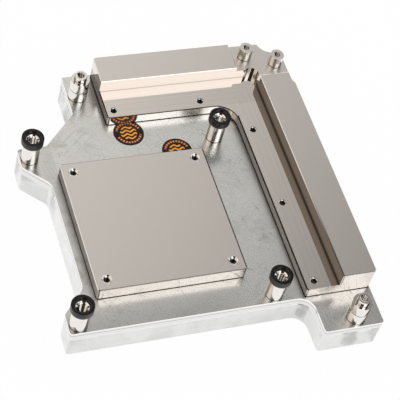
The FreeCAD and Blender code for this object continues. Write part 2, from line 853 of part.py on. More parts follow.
bodies = [build_base(), build_acrylic(), build_seal(), build_jet_plate()]
for number, (x, y) in enumerate(cooler_corners(), start=1):
    bodies.append(build_cooler_standoff("cpu_standoff_%d" % number, x, y))
    bodies.append(build_bushing("cpu_bushing_%d" % number, x, y))
for number, (x, y) in enumerate(shouldered_places(), start=1):
    bodies.append(build_shouldered_standoff("tall_standoff_%d" % number, x, y))
    bodies.append(build_screw("clamp_screw_%d" % number, x, y, size("clamp_screw_length")))
for number, (x, y) in enumerate(shelf_places(), start=1):
    bodies.append(build_short_standoff("short_standoff_%d" % number, x, y))
for number, (x, y) in enumerate(pad_screws() + floor_screws(), start=1):
    bodies.append(build_screw("assembly_screw_%d" % number, x, y, size("screw_length")))
bodies.append(build_label("label_1", size("first_label_x"), size("first_label_y"), 1,
                          size("floor_inner_y")))
bodies.append(build_label("label_2", size("second_label_x"), size("second_label_y"), -1,
                          size("pad_side") / 2))
doc.recompute()

for item in doc.Objects:
    if "Invalid" in item.State or "Touched" in item.State:
        raise ValueError("%s is not computed: %s" % (item.Name, item.State))
os.makedirs("parts", exist_ok=True)
for body in bodies:
    shape = body.Shape
    if shape.isNull() or not shape.isValid() or len(shape.Solids) != 1:
        raise ValueError(body.Label + " is not one valid solid")
    shape.exportStep("parts/%s.step" % body.Label)
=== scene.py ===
# %% [markdown]
# # A liquid cooling cold plate
#
# This lesson dresses a machined cold plate for a processor and its voltage regulators. The metal
# base, the clear coolant body under it, the seal, the screws and the standoffs come from the CAD
# model. Here the small hardware is turned and threaded in mesh code, every surface gets its finish,
# and the part is lit and photographed on a white table.

# %% Load the model
import math

import bmesh
import bpy
from mathutils import Euler, Matrix, Vector


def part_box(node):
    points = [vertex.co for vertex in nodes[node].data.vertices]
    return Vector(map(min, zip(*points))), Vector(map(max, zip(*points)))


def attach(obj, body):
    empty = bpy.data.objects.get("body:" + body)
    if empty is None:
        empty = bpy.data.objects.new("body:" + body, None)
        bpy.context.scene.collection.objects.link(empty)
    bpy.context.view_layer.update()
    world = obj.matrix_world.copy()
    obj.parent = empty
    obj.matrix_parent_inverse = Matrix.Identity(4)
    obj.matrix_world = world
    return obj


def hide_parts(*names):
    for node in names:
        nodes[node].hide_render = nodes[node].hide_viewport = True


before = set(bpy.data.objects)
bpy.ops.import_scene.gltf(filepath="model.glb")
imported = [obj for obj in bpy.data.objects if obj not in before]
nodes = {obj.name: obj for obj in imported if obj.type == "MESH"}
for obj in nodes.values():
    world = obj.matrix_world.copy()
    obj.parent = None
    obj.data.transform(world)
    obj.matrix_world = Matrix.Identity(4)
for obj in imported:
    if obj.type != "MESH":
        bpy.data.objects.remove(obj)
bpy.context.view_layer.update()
print("pieces in the model:", len(nodes))

# %% [markdown]
# ## Levels and the processor's axis
#
# Lengths are in metres. The processor's axis is the middle of the square of four standoffs, and
# most places are easiest to give from it. The axis and the plate's level are read from the model,
# so that the finishes follow the solids.

# %% Name the main places
MM = 0.001


def middle(name):
    """The place of a node's axis, and its lowest and highest level."""
    low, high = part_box(name)
    return Vector(((low[0] + high[0]) / 2, (low[1] + high[1]) / 2, 0.0)), low[2], high[2]


corners = [middle(f"cpu_standoff_{index}")[0] for index in range(1, 5)]
CPU = sum(corners, Vector()) / 4
PLATE_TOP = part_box("tall_standoff_1")[0][2]
PLATE = PLATE_TOP / MM
print("processor axis:", [round(value, 5) for value in CPU], "plate top:", round(PLATE_TOP, 5))

# %% [markdown]
# ## Where the base changes its face
#
# The base is one solid, so its steps have no box of their own to be read from the model. They are
# named here, in millimetres: heights above the plate's upper face, and places from the processor's
# axis.

# %% Name the steps of the base
FLOOR_HIGH, PAD_HIGH, SHELF_HIGH, SHORT_BAR_HIGH = 4.5, 5.6, 8.5, 10.4
PAD_SIDE = 28.75
BLOCK_LEFT, BLOCK_FRONT = 48.4, 48.9
SHORT_BAR_LEFT, LONG_BAR_LEFT, LONG_BAR_BACK = -4.0, 61.3, 59.6
FRONT_END, RIGHT_SIDE, BACK_SIDE = -41.2, 75.0, 75.4
SHELF_TOP = PLATE_TOP + SHELF_HIGH * MM
print("the pad is", 2 * PAD_SIDE, "mm square and", PAD_HIGH, "mm high")

# %% [markdown]
# ## Turning small parts
#
# Standoffs, bushings and screw heads are turned on a lathe. In Blender a profile of points, each a
# radius and a height, is spun round the vertical axis with `bmesh.ops.spin`. A Bevel on the sharp
# rings then gives the tiny edge breaks that catch the light, which a bare cylinder lacks.


# %% The lathe
def spin_profile(bm, profile, steps=64):
    """Spins a closed profile of (radius, height) points in millimetres round the vertical axis."""
    verts = [bm.verts.new((radius * MM, 0.0, height * MM)) for radius, height in profile]
    edges = [bm.edges.new((verts[i], verts[(i + 1) % len(verts)])) for i in range(len(verts))]
    bmesh.ops.spin(bm, geom=verts + edges, cent=(0, 0, 0), axis=(0, 0, 1), dvec=(0, 0, 0),
                   angle=math.tau, steps=steps, use_merge=True, use_duplicate=False)
    bmesh.ops.remove_doubles(bm, verts=bm.verts[:], dist=1e-7)
    bmesh.ops.dissolve_degenerate(bm, dist=1e-8, edges=bm.edges[:])
    bmesh.ops.recalc_face_normals(bm, faces=bm.faces[:])


def break_edges(bm, width, segments=2, sharper_than=35):
    """Bevels every edge that is sharper than an angle in degrees."""
    sharp = [edge for edge in bm.edges if len(edge.link_faces) == 2
             and math.degrees(edge.calc_face_angle(0.0)) > sharper_than]
    bmesh.ops.bevel(bm, geom=sharp, offset=width * MM, offset_type="OFFSET", segments=segments,
                    profile=0.5, affect="EDGES", clamp_overlap=True, material=-1)


def finish_mesh(bm, name, place, smooth=20):
    """Moves the mesh to its place and makes an object of it."""
    bmesh.ops.translate(bm, verts=bm.verts[:], vec=place)
    mesh = bpy.data.meshes.new(name)
    bm.to_mesh(mesh)
    bm.free()
    for polygon in mesh.polygons:
        polygon.use_smooth = True
    mesh.set_sharp_from_angle(angle=math.radians(smooth))
    piece = bpy.data.objects.new(name, mesh)
    bpy.context.scene.collection.objects.link(piece)
    return piece


def stand_for(piece, node, finish):
    """Lets a new piece take the place of a CAD node."""
    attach(piece, "root")
    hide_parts(node)
    piece.data.materials.append(finish)


# %% [markdown]
# ## Cutting threads
#
# A thread is one small tooth that climbs as it turns. `bmesh.ops.spin` climbs too when it gets a
# step along the axis. One pitch of the tooth, spun through several turns, gives the flanks, and
# `bisect_plane` trims both ends flat. Filled at the ends it is a threaded rod, good as the shank of
# a screw, and good as the tap that a Boolean takes out of a standoff. A real thread is worth it
# here, because the bores are open to the camera.


# %% The threaded rod
def threaded_rod(bm, crest, root, pitch, low, high, around=28):
    """Adds a closed threaded rod between two heights, all in millimetres."""
    turns = math.ceil((high - low) / pitch) + 2
    start = low - pitch
    tooth = [(root, 0.0), (root, 0.14), (crest, 0.44), (crest, 0.60), (root, 0.90), (root, 1.0)]
    verts = [bm.verts.new((r * MM, 0.0, (start + share * pitch) * MM)) for r, share in tooth]
    edges = [bm.edges.new(pair) for pair in zip(verts, verts[1:])]
    bmesh.ops.spin(bm, geom=verts + edges, cent=(0, 0, 0), axis=(0, 0, 1),
                   dvec=(0, 0, pitch * MM / around), angle=math.tau * turns, steps=around * turns,
                   use_merge=False, use_duplicate=False)
    bmesh.ops.remove_doubles(bm, verts=bm.verts[:], dist=pitch * MM * 0.01)
    for height, way in ((low, -1), (high, 1)):
        bmesh.ops.bisect_plane(bm, geom=bm.verts[:] + bm.edges[:] + bm.faces[:], dist=1e-8,
                               plane_co=(0, 0, height * MM), plane_no=(0, 0, way), clear_outer=True)
        rim = [edge for edge in bm.edges if edge.is_boundary
               and all(abs(vert.co.z - height * MM) < 1e-7 for vert in edge.verts)]
        bmesh.ops.edgeloop_fill(bm, edges=rim)
    bmesh.ops.recalc_face_normals(bm, faces=bm.faces[:])


def cut(piece, tool):
    """Takes the tool's shape out of the piece, and throws the tool away."""
    boolean = piece.modifiers.new("cut", "BOOLEAN")
    boolean.operation = "DIFFERENCE"
    boolean.solver = "EXACT"
    boolean.object = tool
    graph = bpy.context.evaluated_depsgraph_get()
    mesh = bpy.data.meshes.new_from_object(piece.evaluated_get(graph))
    piece.modifiers.clear()
    mesh.set_sharp_from_angle(angle=math.radians(20))
    piece.data = mesh
    bpy.data.objects.remove(tool)


def tap(crest, root, pitch, low, high, place):
    """A threaded rod to be cut out of something."""
    bm = bmesh.new()
    threaded_rod(bm, crest, root, pitch, low, high)
    return finish_mesh(bm, "tap", place)


# %% [markdown]
# ## Writing shader maths as Python
#
# A material is a graph of nodes. This small class wraps one output socket, so that sums, products
# and masks can be written as plain expressions. Every other node comes from one method that takes
# the node's type, its settings and its inputs.


# %% The socket class
class Wire:
    """One output socket of a node tree, with the operators that shader maths needs."""

    def __init__(self, graph, socket):
        self.graph = graph
        self.socket = socket

    def maths(self, operation, *values):
        """One maths node with the values as its inputs."""
        return self.graph.node("ShaderNodeMath", {"operation": operation}, *values)

    def turned_by(self, function):
        """A function of this number alone, such as SQRT or FRACT."""
        return self.maths(function, self)

    def __add__(self, other):
        return self.maths("ADD", self, other)

    __radd__ = __add__

    def __sub__(self, other):
        return self.maths("SUBTRACT", self, other)

    def __rsub__(self, other):
        return self.maths("SUBTRACT", other, self)

    def __mul__(self, other):
        return self.maths("MULTIPLY", self, other)

    __rmul__ = __mul__

    def __gt__(self, other):
        return self.maths("GREATER_THAN", self, other)

    def __lt__(self, other):
        return self.maths("LESS_THAN", self, other)

    def beside(self, name):
        """Another output of the same node."""
        return Wire(self.graph, self.socket.node.outputs[name])

    def near(self, value, reach):
        """1 where the number is within reach of a value."""
        return self.maths("COMPARE", self, value, reach)

    def ramp(self, low, high):
        """0 at low, 1 at high and smooth between them; low may be the larger one."""
        if low > high:
            return 1.0 - self.ramp(high, low)
        settings = {"interpolation_type": "SMOOTHSTEP"}
        return self.graph.node("ShaderNodeMapRange", settings, self, low, high, 0.0, 1.0)

    def most(self, other):
        return self.maths("MAXIMUM", self, other)

    def least(self, other):
        return self.maths("MINIMUM", self, other)


class Graph:
    """The node tree of one material or world."""

    def __init__(self, owner):
        owner.use_nodes = True
        self.tree = owner.node_tree
        self.tree.nodes.clear()

    def node(self, kind, settings=None, *values, output=0, **named):
        """Adds a node: its settings first, then its inputs in order or by name."""
        node = self.tree.nodes.new(kind)
        for name, value in (settings or {}).items():
            setattr(node, name, value)
        inputs = [socket for socket in node.inputs if socket.enabled]
        pairs = list(zip(inputs, values))
        for key, value in named.items():
            pairs.append((next(s for s in inputs if s.name == key.replace("_", " ")), value))
        for socket, value in pairs:
            if isinstance(value, Wire):
                self.tree.links.new(value.socket, socket)
            elif value is not None:
                socket.default_value = value
        outputs = [socket for socket in node.outputs if socket.enabled]
        return Wire(self, outputs[output]) if outputs else node

    def mix(self, share, first, second):
        """A colour between two colours."""
        both = [(*c, 1.0) if isinstance(c, tuple) and len(c) == 3 else c for c in (first, second)]
        return self.node("ShaderNodeMix", {"data_type": "RGBA"}, share, *both)

    def blend(self, share, first, second):
        """A number between two numbers."""
        return self.node("ShaderNodeMix", {"data_type": "FLOAT"}, share, first, second)

    def shade_by(self, colour, amount):
        """A colour made darker or lighter by a number."""
        grey = self.node("ShaderNodeCombineXYZ", None, amount, amount, amount)
        settings = {"data_type": "RGBA", "blend_type": "MULTIPLY"}
        return self.node("ShaderNodeMix", settings, 1.0, colour, grey)

    def place(self, centre=(0.0, 0.0, 0.0), stretch=(1, 1, 1), turn=0.0):
        """Object coordinates in millimetres from a centre, turned and stretched."""
        spot = self.node("ShaderNodeTexCoord", None, output=3)
        spot = self.node("ShaderNodeVectorMath", {"operation": "SUBTRACT"}, spot, tuple(centre))
        turned = self.node("ShaderNodeMapping", {"vector_type": "POINT"}, spot, (0, 0, 0),
                           (0, 0, math.radians(turn)), (1000, 1000, 1000))
        return self.node("ShaderNodeVectorMath", {"operation": "MULTIPLY"}, turned, tuple(stretch))

    def noise(self, spot, scale, detail=2.0, roughness=0.5, distortion=0.0):
        """A soft random value round a half."""
        return self.node("ShaderNodeTexNoise", None, Vector=spot, Scale=scale, Detail=detail,
                         Roughness=roughness, Distortion=distortion)

    def axes(self, spot):
        """The three numbers of a place."""
        parts = self.node("ShaderNodeSeparateXYZ", None, spot)
        return [parts.beside(axis) for axis in "XYZ"]

    def facing(self):
        """The direction that the surface faces."""
        return self.axes(self.node("ShaderNodeNewGeometry", None, output=3))

    def bump(self, height, strength, distance):
        """A surface direction that follows a height."""
        return self.node("ShaderNodeBump", None, Strength=strength, Distance=distance,
                         Height=height)

    def principled(self, **sockets):
        """A Principled shader with some of its inputs set."""
        return self.node("ShaderNodeBsdfPrincipled", None, **sockets)

    def surface(self, **sockets):
        """Ends the graph with a Principled surface."""
        self.node("ShaderNodeOutputMaterial", None, self.principled(**sockets))

    def two_surfaces(self, share, first, second):
        """Ends the graph with two shaders, mixed by a share of the second."""
        mixed = self.node("ShaderNodeMixShader", None, share, first, second)
        self.node("ShaderNodeOutputMaterial", None, mixed)


def material(name):
    """A new material and its graph."""
    made = bpy.data.materials.new(name)
    return made, Graph(made)


def wear(node_name, finish):
    """Gives a CAD node its finish."""
    for slot in nodes[node_name].material_slots:
        slot.material = finish


# %% [markdown]
# ## The nickel of the base
#
# The base is copper, machined, ground on its contact faces and then plated with nickel. The pad,
# the bars and the shelf are satin. The floor of the block is close to a mirror and keeps the long
# strips of the cutter that ran along the walls. The plate between them is cooler in colour, nearly
# as dull as the satin faces, and covered in faint stains, hair scratches and crazing. One material
# covers the base. First come the masks: the level of a point and the way its surface faces say
# which finish it has.

# %% Masks of the base
base_nickel, g = material("base_nickel")
nx, ny, nz = g.facing()
x, y, z = g.axes(g.place(CPU))
h = z - PLATE
over_plate = h > 0.0
up = nz > 0.8
wall = (nz < 0.8) * (nz > -0.8)
faces_left = nx < -0.8
faces_front = ny < -0.8
raised = h > FLOOR_HIGH - 0.3
ground = up * (h > PAD_HIGH - 0.4)
floor_face = up * raised * (1.0 - ground)
plate_face = up * (1.0 - raised)
rim = (h < 0.0) * wall
print("the base has plate, floor, ground and side faces")

# %% [markdown]
# ## Stains, crazing and scratches
#
# The plate's face carries wide clouds and stains, a few cracks of the plating and some hair
# scratches. The cracks are the borders of bent Voronoi cells, and a noise breaks them up. A
# scratch is the crest of a noise that is stretched far along one direction.

# %% Stains, crazing and scratches
cloud = g.noise(g.place(CPU), 0.05, 6.0, 0.6)
stain = g.noise(g.place(CPU, turn=20), 0.11, 6.0, 0.72, 0.4)
speck = g.noise(g.place(CPU), 1.1, 4.0, 0.7)

flat = g.place(CPU, (1, 1, 0))
swirl = g.noise(flat, 0.12, 4.0, 0.7)
bend = g.node("ShaderNodeVectorMath", {"operation": "SCALE"}, swirl, Scale=9.0)
bent = g.node("ShaderNodeVectorMath", {"operation": "ADD"}, flat, bend)
cells = g.node("ShaderNodeTexVoronoi", {"feature": "DISTANCE_TO_EDGE"}, Vector=bent, Scale=0.055)
broken = g.noise(g.place(CPU, turn=50), 0.09, 4.0, 0.7).ramp(0.50, 0.66)
crazing = cells.ramp(0.022, 0.0) * broken

scratches = []
for turn, shift in ((20, 3.1), (-42, 9.7), (74, 17.3)):
    centre = CPU + Vector((shift, 0, 0)) * MM
    streak = g.noise(g.place(centre, (0.06, 2.6, 0), turn), 1.0, 1.0, 0.4)
    scratches.append(streak.ramp(0.655, 0.70))
hair = scratches[0].most(scratches[1]).most(scratches[2])
grime = (stain.ramp(0.50, 0.75) * 0.35 + crazing * 0.9 + hair * 0.26) * plate_face
print("scratches run in", len(scratches), "directions")

# %% [markdown]
# ## How light each place is
#
# The tone multiplies the colour of the nickel. Strips follow both legs of the block, a fine grain
# covers the ground faces, and level bands lie on the walls that face left. Painted shade darkens
# the low walls that face left, the foot of the long bar and the plate in front of the pad, and
# painted light brightens the plate to the pad's right.

# %% Tone of the nickel
along = (x - BLOCK_LEFT).most(y - BLOCK_FRONT)
strip = g.noise(g.node("ShaderNodeCombineXYZ", None, along, 0.0, 0.0), 0.8, 5.0, 0.7)
grain = g.noise(g.place(CPU, (0.12, 3.5, 0.35)), 1.0, 3.0, 0.7)
band = g.noise(g.node("ShaderNodeCombineXYZ", None, 0.0, 0.0, h), 0.75, 3.0, 0.6)

tone = 1.0 + (cloud - 0.5) * 0.20 * plate_face + (speck - 0.5) * 0.04 * plate_face \
    + (strip - 0.5) * 0.34 * floor_face + (grain - 0.5) * 0.05 * ground
tone = tone * (1.0 - grime * 0.48)
# painted shade makes the plate a little darker in front of the pad, painted light brighter to its
# right
tone = tone * (1.0 - y.ramp(-30.0, -40.0) * x.ramp(30.0, 12.0) * plate_face * 0.20)
tone = tone * (1.0 + x.ramp(18.0, 45.0) * plate_face * 0.07)
tone = tone * (1.0 - 0.07 * floor_face * (y > BLOCK_FRONT + 0.1))
# painted shade: the low walls that face left are darker, and so is the foot of the long bar
shaded_low_wall = faces_left * (h < PAD_HIGH + 0.1) * over_plate
bar_foot_shade = faces_left * (h > FLOOR_HIGH) * (x > 55.0) * h.ramp(7.5, FLOOR_HIGH)
tone = tone * (1.0 + (band - 0.5) * 0.7 * faces_left)
tone = tone * (1.0 - 0.44 * shaded_low_wall) * (1.0 - 0.40 * bar_foot_shade)
print("tone made, up to here", len(g.tree.nodes), "nodes")

# %% [markdown]
# ## Colour of the nickel
#
# Nickel is slightly yellow. The plate's face is cooler, with brown stains at its left, and painted
# shade makes the walls that face the front darker and warmer. The plate's own side has a painted
# highlight along its broken top edge, one line of the cutter, and the dark joint to the acrylic.

# %% Colour of the nickel
warm = g.mix(plate_face, (0.82, 0.785, 0.745), (0.825, 0.838, 0.822))
brown_stain = stain.ramp(0.44, 0.64) * x.ramp(-18.0, -36.0) * plate_face
warm = g.mix(brown_stain * 0.75, warm, (0.66, 0.60, 0.56))
# painted shade: the walls that face the front are darker and warmer
block_wall = (y > 45.0) * (h < FLOOR_HIGH + 0.1)
warm = g.mix(faces_front * over_plate * (1.0 - block_wall), warm, (0.765, 0.70, 0.655))
warm = g.mix(rim, warm, (0.81, 0.80, 0.78))
# painted highlight: a white line along the broken top edge of the plate's side
warm = g.mix(h.near(-0.25, 0.32) * (nz < 0.8), warm, (1.0, 1.0, 1.0))
side_lines = rim * (h.near(-1.55, 0.20) * 0.60).most(h.near(-3.62, 0.22) * 0.65)
warm = g.mix(side_lines, warm, (0.30, 0.295, 0.285))
colour = g.shade_by(warm, tone)
print("colour made, up to here", len(g.tree.nodes), "nodes")

# %% [markdown]
# ## Painted dark lines
#
# Three kinds of painted line draw the steps of the base. One is painted shade where a wall meets
# the face under it. One is a painted reflection of the dark of the room along the burnished broken
# edges. And one is painted shade on the deburred upright edges at the front of the bar, the block
# and the pad. Dark paint on a metal still shines at a flat angle, so the lines get a matt and
# nearly black shader of their own.

# %% Painted dark lines at the feet and edges
inside = (x < RIGHT_SIDE - 0.2) * (y < BACK_SIDE - 0.2)
over_floor = ((x > 30.0) + (y > 30.0)).least(1.0) * (x > SHORT_BAR_LEFT + 0.3) \
    * (y > FRONT_END + 0.3) * (x < 74.0) * (y < 74.0)
# painted shade where a wall meets the face under it
plate_crease_shade = h.near(0.0, 0.42).most(h.near(0.0, 1.05) * faces_left) * inside
floor_crease_shade = h.near(FLOOR_HIGH, 0.34) * over_floor * g.blend(y > 55.0, 1.0, 0.35)
painted_crease_shade = (plate_crease_shade + floor_crease_shade) * wall * over_plate

# painted reflection: dark lines along the broken top edges
off_x = x.turned_by("ABSOLUTE")
off_y = y.turned_by("ABSOLUTE")
pad_right = x.near(PAD_SIDE - 0.25, 0.30) * (off_y < PAD_SIDE + 0.05) * 0.95
pad_ends = off_y.near(PAD_SIDE - 0.13, 0.20) * (off_x < PAD_SIDE + 0.05) * 0.7
pad_edge = pad_right.most(pad_ends) * (h > PAD_HIGH - 0.4) * (h < PAD_HIGH + 0.1)
leg_edge = x.near(BLOCK_LEFT + 0.22, 0.25) * (y < 43.0)
end_edge = x.near(SHORT_BAR_LEFT + 0.15, 0.25) * (y > BLOCK_FRONT)
block_edge = leg_edge.most(end_edge) * h.near(FLOOR_HIGH - 0.05, 0.3) * (y > FRONT_END - 0.1)
bar_edge = x.near(LONG_BAR_LEFT + 0.18, 0.28) * (h > SHORT_BAR_HIGH) \
    * (y < LONG_BAR_BACK - 0.1) * y.ramp(10.0, -30.0) * 0.9
front_edge = (y < FRONT_END + 0.28) * (h > SHORT_BAR_HIGH + 0.1) * 0.6
painted_edge_reflection = pad_edge.most(block_edge).most(bar_edge).most(front_edge) * (nz > 0.2)

# painted shade on the deburred upright edges
bar_burr_shade = x.near(LONG_BAR_LEFT + 0.5, 0.16) * (h > FLOOR_HIGH + 0.1)
block_burr_shade = x.near(BLOCK_LEFT + 0.55, 0.13)
pad_burr_shade = y.near(-PAD_SIDE, 0.2) * x.near(-PAD_SIDE + 0.55, 0.13)
painted_deburr_shade = ((y < FRONT_END + 0.3) * bar_burr_shade.most(block_burr_shade)).most(pad_burr_shade) * wall * over_plate
# all three kinds of painted dark line
line = (painted_crease_shade * 0.97).most(painted_deburr_shade * 0.75).most(painted_edge_reflection)
print("dark lines made, up to here", len(g.tree.nodes), "nodes")

# %% [markdown]
# ## Finish of the base
#
# The block's floor and the walls are the smoothest. The ground faces are satin, the shelf is only
# milled, and the plate's face is dullest beside the walls that face left, where the cutter left a
# track. A Mix Shader joins the nickel and the painted dark lines, with the mask of the lines as its
# factor.

# %% Finish of the base
left_track = x.ramp(-35.0, -29.5) * (x < -PAD_SIDE + 0.25)
right_track = x.ramp(43.0, 47.5) * (x < BLOCK_LEFT + 0.1) * (y < 44.0)
track = left_track.most(right_track)
shelf_face = ground * (h > SHELF_HIGH - 0.5) * (h < SHELF_HIGH + 1.0)
rough = 0.05 + 0.25 * ground + 0.06 * shelf_face + 0.03 * wall + grime * 0.25 \
    + plate_face * (0.21 + track * 0.14 + (cloud - 0.5) * 0.10) \
    + (strip - 0.5) * 0.05 * floor_face + (grain - 0.5) * 0.04 * ground
wave = g.noise(g.place(CPU), 0.10, 2.0, 0.5)
nickel = g.principled(Base_Color=colour, Metallic=1.0, Roughness=rough,
                      Normal=g.bump(wave, 0.02, 0.0004))
# the matt, nearly black shader of the painted dark lines
near_black = g.principled(Base_Color=(0.020, 0.014, 0.011, 1.0), Roughness=0.6,
                          Specular_IOR_Level=0.0)
g.two_surfaces(line, nickel, near_black)
wear("cold_plate_base", base_nickel)
print("base material:", len(g.tree.nodes), "nodes")

# %% [markdown]
# ## Bright nickel for the standoffs
#
# The standoffs are turned brass with bright nickel. Their sides are almost a mirror, so they show
# the whole studio as upright stripes. The lathe leaves very fine rings, which blur the mirror a
# little along the axis: a bump of thin rings does that. Painted shade darkens the joints: the
# foot, the seam of a shouldered standoff and the place under its tip.

# %% Bright nickel
SEAM_HIGH, UNDER_TIP_HIGH = 5.2, 10.11
bright_nickel, g = material("bright_nickel")
x, y, z = g.axes(g.place(CPU))
h = z - PLATE
shouldered = (x * x).most(y * y) > 45.0 ** 2
on_shelf = (x > 40.0) * (y > 55.0)
# painted shade at the foot, in the seam and under the tip
standoff_foot_shade = h.near(0.1, 0.14).most(h.near(SHELF_HIGH + 0.1, 0.14) * on_shelf)
standoff_seam_shade = h.near(SEAM_HIGH, 0.14) * shouldered
standoff_tip_shade = h.near(UNDER_TIP_HIGH, 0.12) * shouldered * (1.0 - on_shelf)
painted_joint_shade = standoff_foot_shade.most(standoff_seam_shade).most(standoff_tip_shade)

level = g.node("ShaderNodeCombineXYZ", None, 0.0, 0.0, g.axes(g.place())[2])
rings = g.noise(level, 9.0, 2.0, 0.6)
dull = g.noise(g.place(), 0.5, 3.0, 0.6)
metal = g.shade_by((0.85, 0.82, 0.785, 1.0), 0.95 + dull * 0.1)
# painted shade darkens the joints
g.surface(Base_Color=g.mix(painted_joint_shade * 0.9, metal, (0.02, 0.015, 0.012)), Metallic=1.0,
          Roughness=0.03 + dull * 0.04, Normal=g.bump(rings, 0.05, 0.00002))
print("bright nickel made, with dark joints")

# %% [markdown]
# ## Black bushings
#
# The bushings are hard black nylon, moulded and slightly glossy, with a softer sheen on the side
# where they rub on the board's hole.

# %% Bushing nylon
bushing_black, g = material("bushing_black")
nz = g.facing()[2]
side = 1.0 - (nz > 0.5)
rub = g.noise(g.place(stretch=(1, 1, 5)), 0.8, 4.0, 0.6)
worn = side * (0.35 + rub * 0.5)
g.surface(Base_Color=g.mix(worn, (0.004, 0.0035, 0.0035), (0.034, 0.032, 0.031)),
          Roughness=0.17 + side * 0.10 + rub * 0.08, Specular_IOR_Level=0.34,
          Normal=g.bump(rub, 0.08, 0.0001))
print("bushing nylon made")

# %% [markdown]
# ## Turn the hardware
#
# Each profile goes up the outside of the piece and closes on the axis, so what the lathe leaves is
# solid. A threaded rod is then cut out of it as the tapped bore, after a countersink where there
# is one. A bushing's profile goes once round its wall. The seam near the foot of a shouldered
# standoff is a narrow groove in the profile.

# %% Processor standoffs and bushings
for index in range(1, 5):
    axis, low, high = middle(f"cpu_standoff_{index}")
    low, high = low / MM, high / MM
    bush_low, bush_high = (level / MM for level in middle(f"cpu_bushing_{index}")[1:])
    shank, body, neck = 1.9, 3.4, 2.6
    bm = bmesh.new()
    spin_profile(bm, [(0, low), (shank, low), (shank, PLATE), (body, PLATE), (body, bush_low),
                      (neck, bush_low), (neck, high), (0, high)])
    break_edges(bm, 0.08)
    standoff = finish_mesh(bm, f"turned_cpu_standoff_{index}", axis)
    bm = bmesh.new()
    spin_profile(bm, [(0, high - 0.75), (1.62, high - 0.75), (2.38, high), (2.38, high + 1),
                      (0, high + 1)])
    cut(standoff, finish_mesh(bm, "countersink", axis))
    cut(standoff, tap(1.98, 1.60, 0.7, high - 8.0, high + 0.5, axis))
    stand_for(standoff, f"cpu_standoff_{index}", bright_nickel)

    inner, outer = 2.65, 4.275
    bm = bmesh.new()
    spin_profile(bm, [(inner, bush_low), (outer, bush_low), (outer, bush_high), (3.2, bush_high),
                      (2.75, bush_high - 0.45), (inner, bush_high - 0.5)], 72)
    break_edges(bm, 0.22, 3)
    bushing = finish_mesh(bm, f"moulded_bushing_{index}", axis)
    stand_for(bushing, f"cpu_bushing_{index}", bushing_black)
print("processor standoffs:", len(standoff.data.polygons), "faces each")

# %% [markdown]
# ## Shouldered standoffs
#
# These two stand on the tab and on the foot of the base. Their tip is thinner than the body, so the
# profile steps in once, and it dips at the seam.

# %% Shouldered standoffs
body, tip, tip_length = 3.75, 2.45, 2.25
for index in (1, 2):
    axis, low, high = middle(f"tall_standoff_{index}")
    low, high = low / MM, high / MM
    seam = low + SEAM_HIGH
    shoulder = high - tip_length
    bm = bmesh.new()
    spin_profile(bm, [(0, low), (body, low), (body, seam - 0.15), (body - 0.2, seam),
                      (body, seam + 0.15), (body, shoulder), (tip, shoulder), (tip, high),
                      (0, high)])
    break_edges(bm, 0.09, 2)
    standoff = finish_mesh(bm, f"turned_tall_standoff_{index}", axis)
    cut(standoff, tap(1.70, 1.38, 0.5, high - 5.5, high + 0.5, axis))
    stand_for(standoff, f"tall_standoff_{index}", bright_nickel)
print("shouldered standoffs:", len(standoff.data.polygons), "faces each")

# %% [markdown]
# ## Short standoffs
#
# The two on the corner shelf are plain tapped pins. The thin lower part of the profile reaches into
# the shelf.

# %% Short standoffs
shank, body = 1.45, 2.775
shelf = SHELF_TOP / MM
for index in (1, 2):
    axis, low, high = middle(f"short_standoff_{index}")
    low, high = low / MM, high / MM
    bm = bmesh.new()
    spin_profile(bm, [(0, low), (shank, low), (shank, shelf), (body, shelf), (body, high),
                      (0, high)])
    break_edges(bm, 0.06, 2)
    standoff = finish_mesh(bm, f"turned_short_standoff_{index}", axis)
    cut(standoff, tap(1.5, 1.2, 0.5, high - 4.0, high + 0.5, axis))
    stand_for(standoff, f"short_standoff_{index}", bright_nickel)
print("short standoffs:", len(standoff.data.polygons), "faces each")

# %% [markdown]
# ## The clear coolant body
#
# The coolant body is cast acrylic, milled all round. Its flat faces are polished and clear. The
# cutter leaves its sides slightly frosted, with fine level lines and faint upright marks, and a
# painted highlight draws the broken upper edge as one white line. Painted shade makes the front a
# little darker, and the lower edge too. The share of light that passes must not change over a
# surface, but a Mix Shader's factor may, so two Principled shaders are mixed by the way the surface
# faces.

# %% Clear acrylic
ACRYLIC_IOR = 1.49
acrylic, g = material("clear_acrylic")
ny, nz = g.facing()[1:]
z = g.axes(g.place(CPU))[2]
side = (nz * nz).ramp(0.75, 0.35)
lines = g.noise(g.place(CPU, (0.04, 0.04, 3.2)), 1.0, 3.0, 0.6)
marks = g.noise(g.place(CPU, (0.6, 0.6, 0.35), 30), 0.12, 5.0, 0.6, 0.8)
edge = (nz > 0.35) * (nz < 0.95)
both = (lines * 0.35 + marks * 0.65).ramp(0.38, 0.60)
frost_and_shade = g.mix(both, (0.80, 0.815, 0.795), (0.95, 0.955, 0.94))
# painted shade: the front is a little darker, and so is the lower edge
frost_and_shade = g.shade_by(frost_and_shade, (1.0 - 0.11 * (ny < -0.5)) * (1.0 - 0.45 * (z < 0.5)))
# painted highlight: the broken upper edge is white
milled = g.principled(Base_Color=g.mix(edge, frost_and_shade, (1.0, 1.0, 1.0)), Roughness=0.26 + lines * 0.14,
                      IOR=ACRYLIC_IOR, Transmission_Weight=0.30)
clear = g.principled(Base_Color=(0.97, 0.98, 0.98, 1.0), Roughness=0.02 + marks * 0.04,
                     IOR=ACRYLIC_IOR, Transmission_Weight=1.0)
g.two_surfaces(side, clear, milled)
wear("acrylic_body", acrylic)
print("acrylic material:", len(g.tree.nodes), "nodes")

# %% [markdown]
# ## Screws
#
# Socket screws of plated steel hold both bodies together, and two longer ones hold the shouldered
# standoffs. One screw of each kind is made: a turned head with a hexagonal socket, and a threaded
# shank. The others are copies. The finish of the threads in the base is made here too.

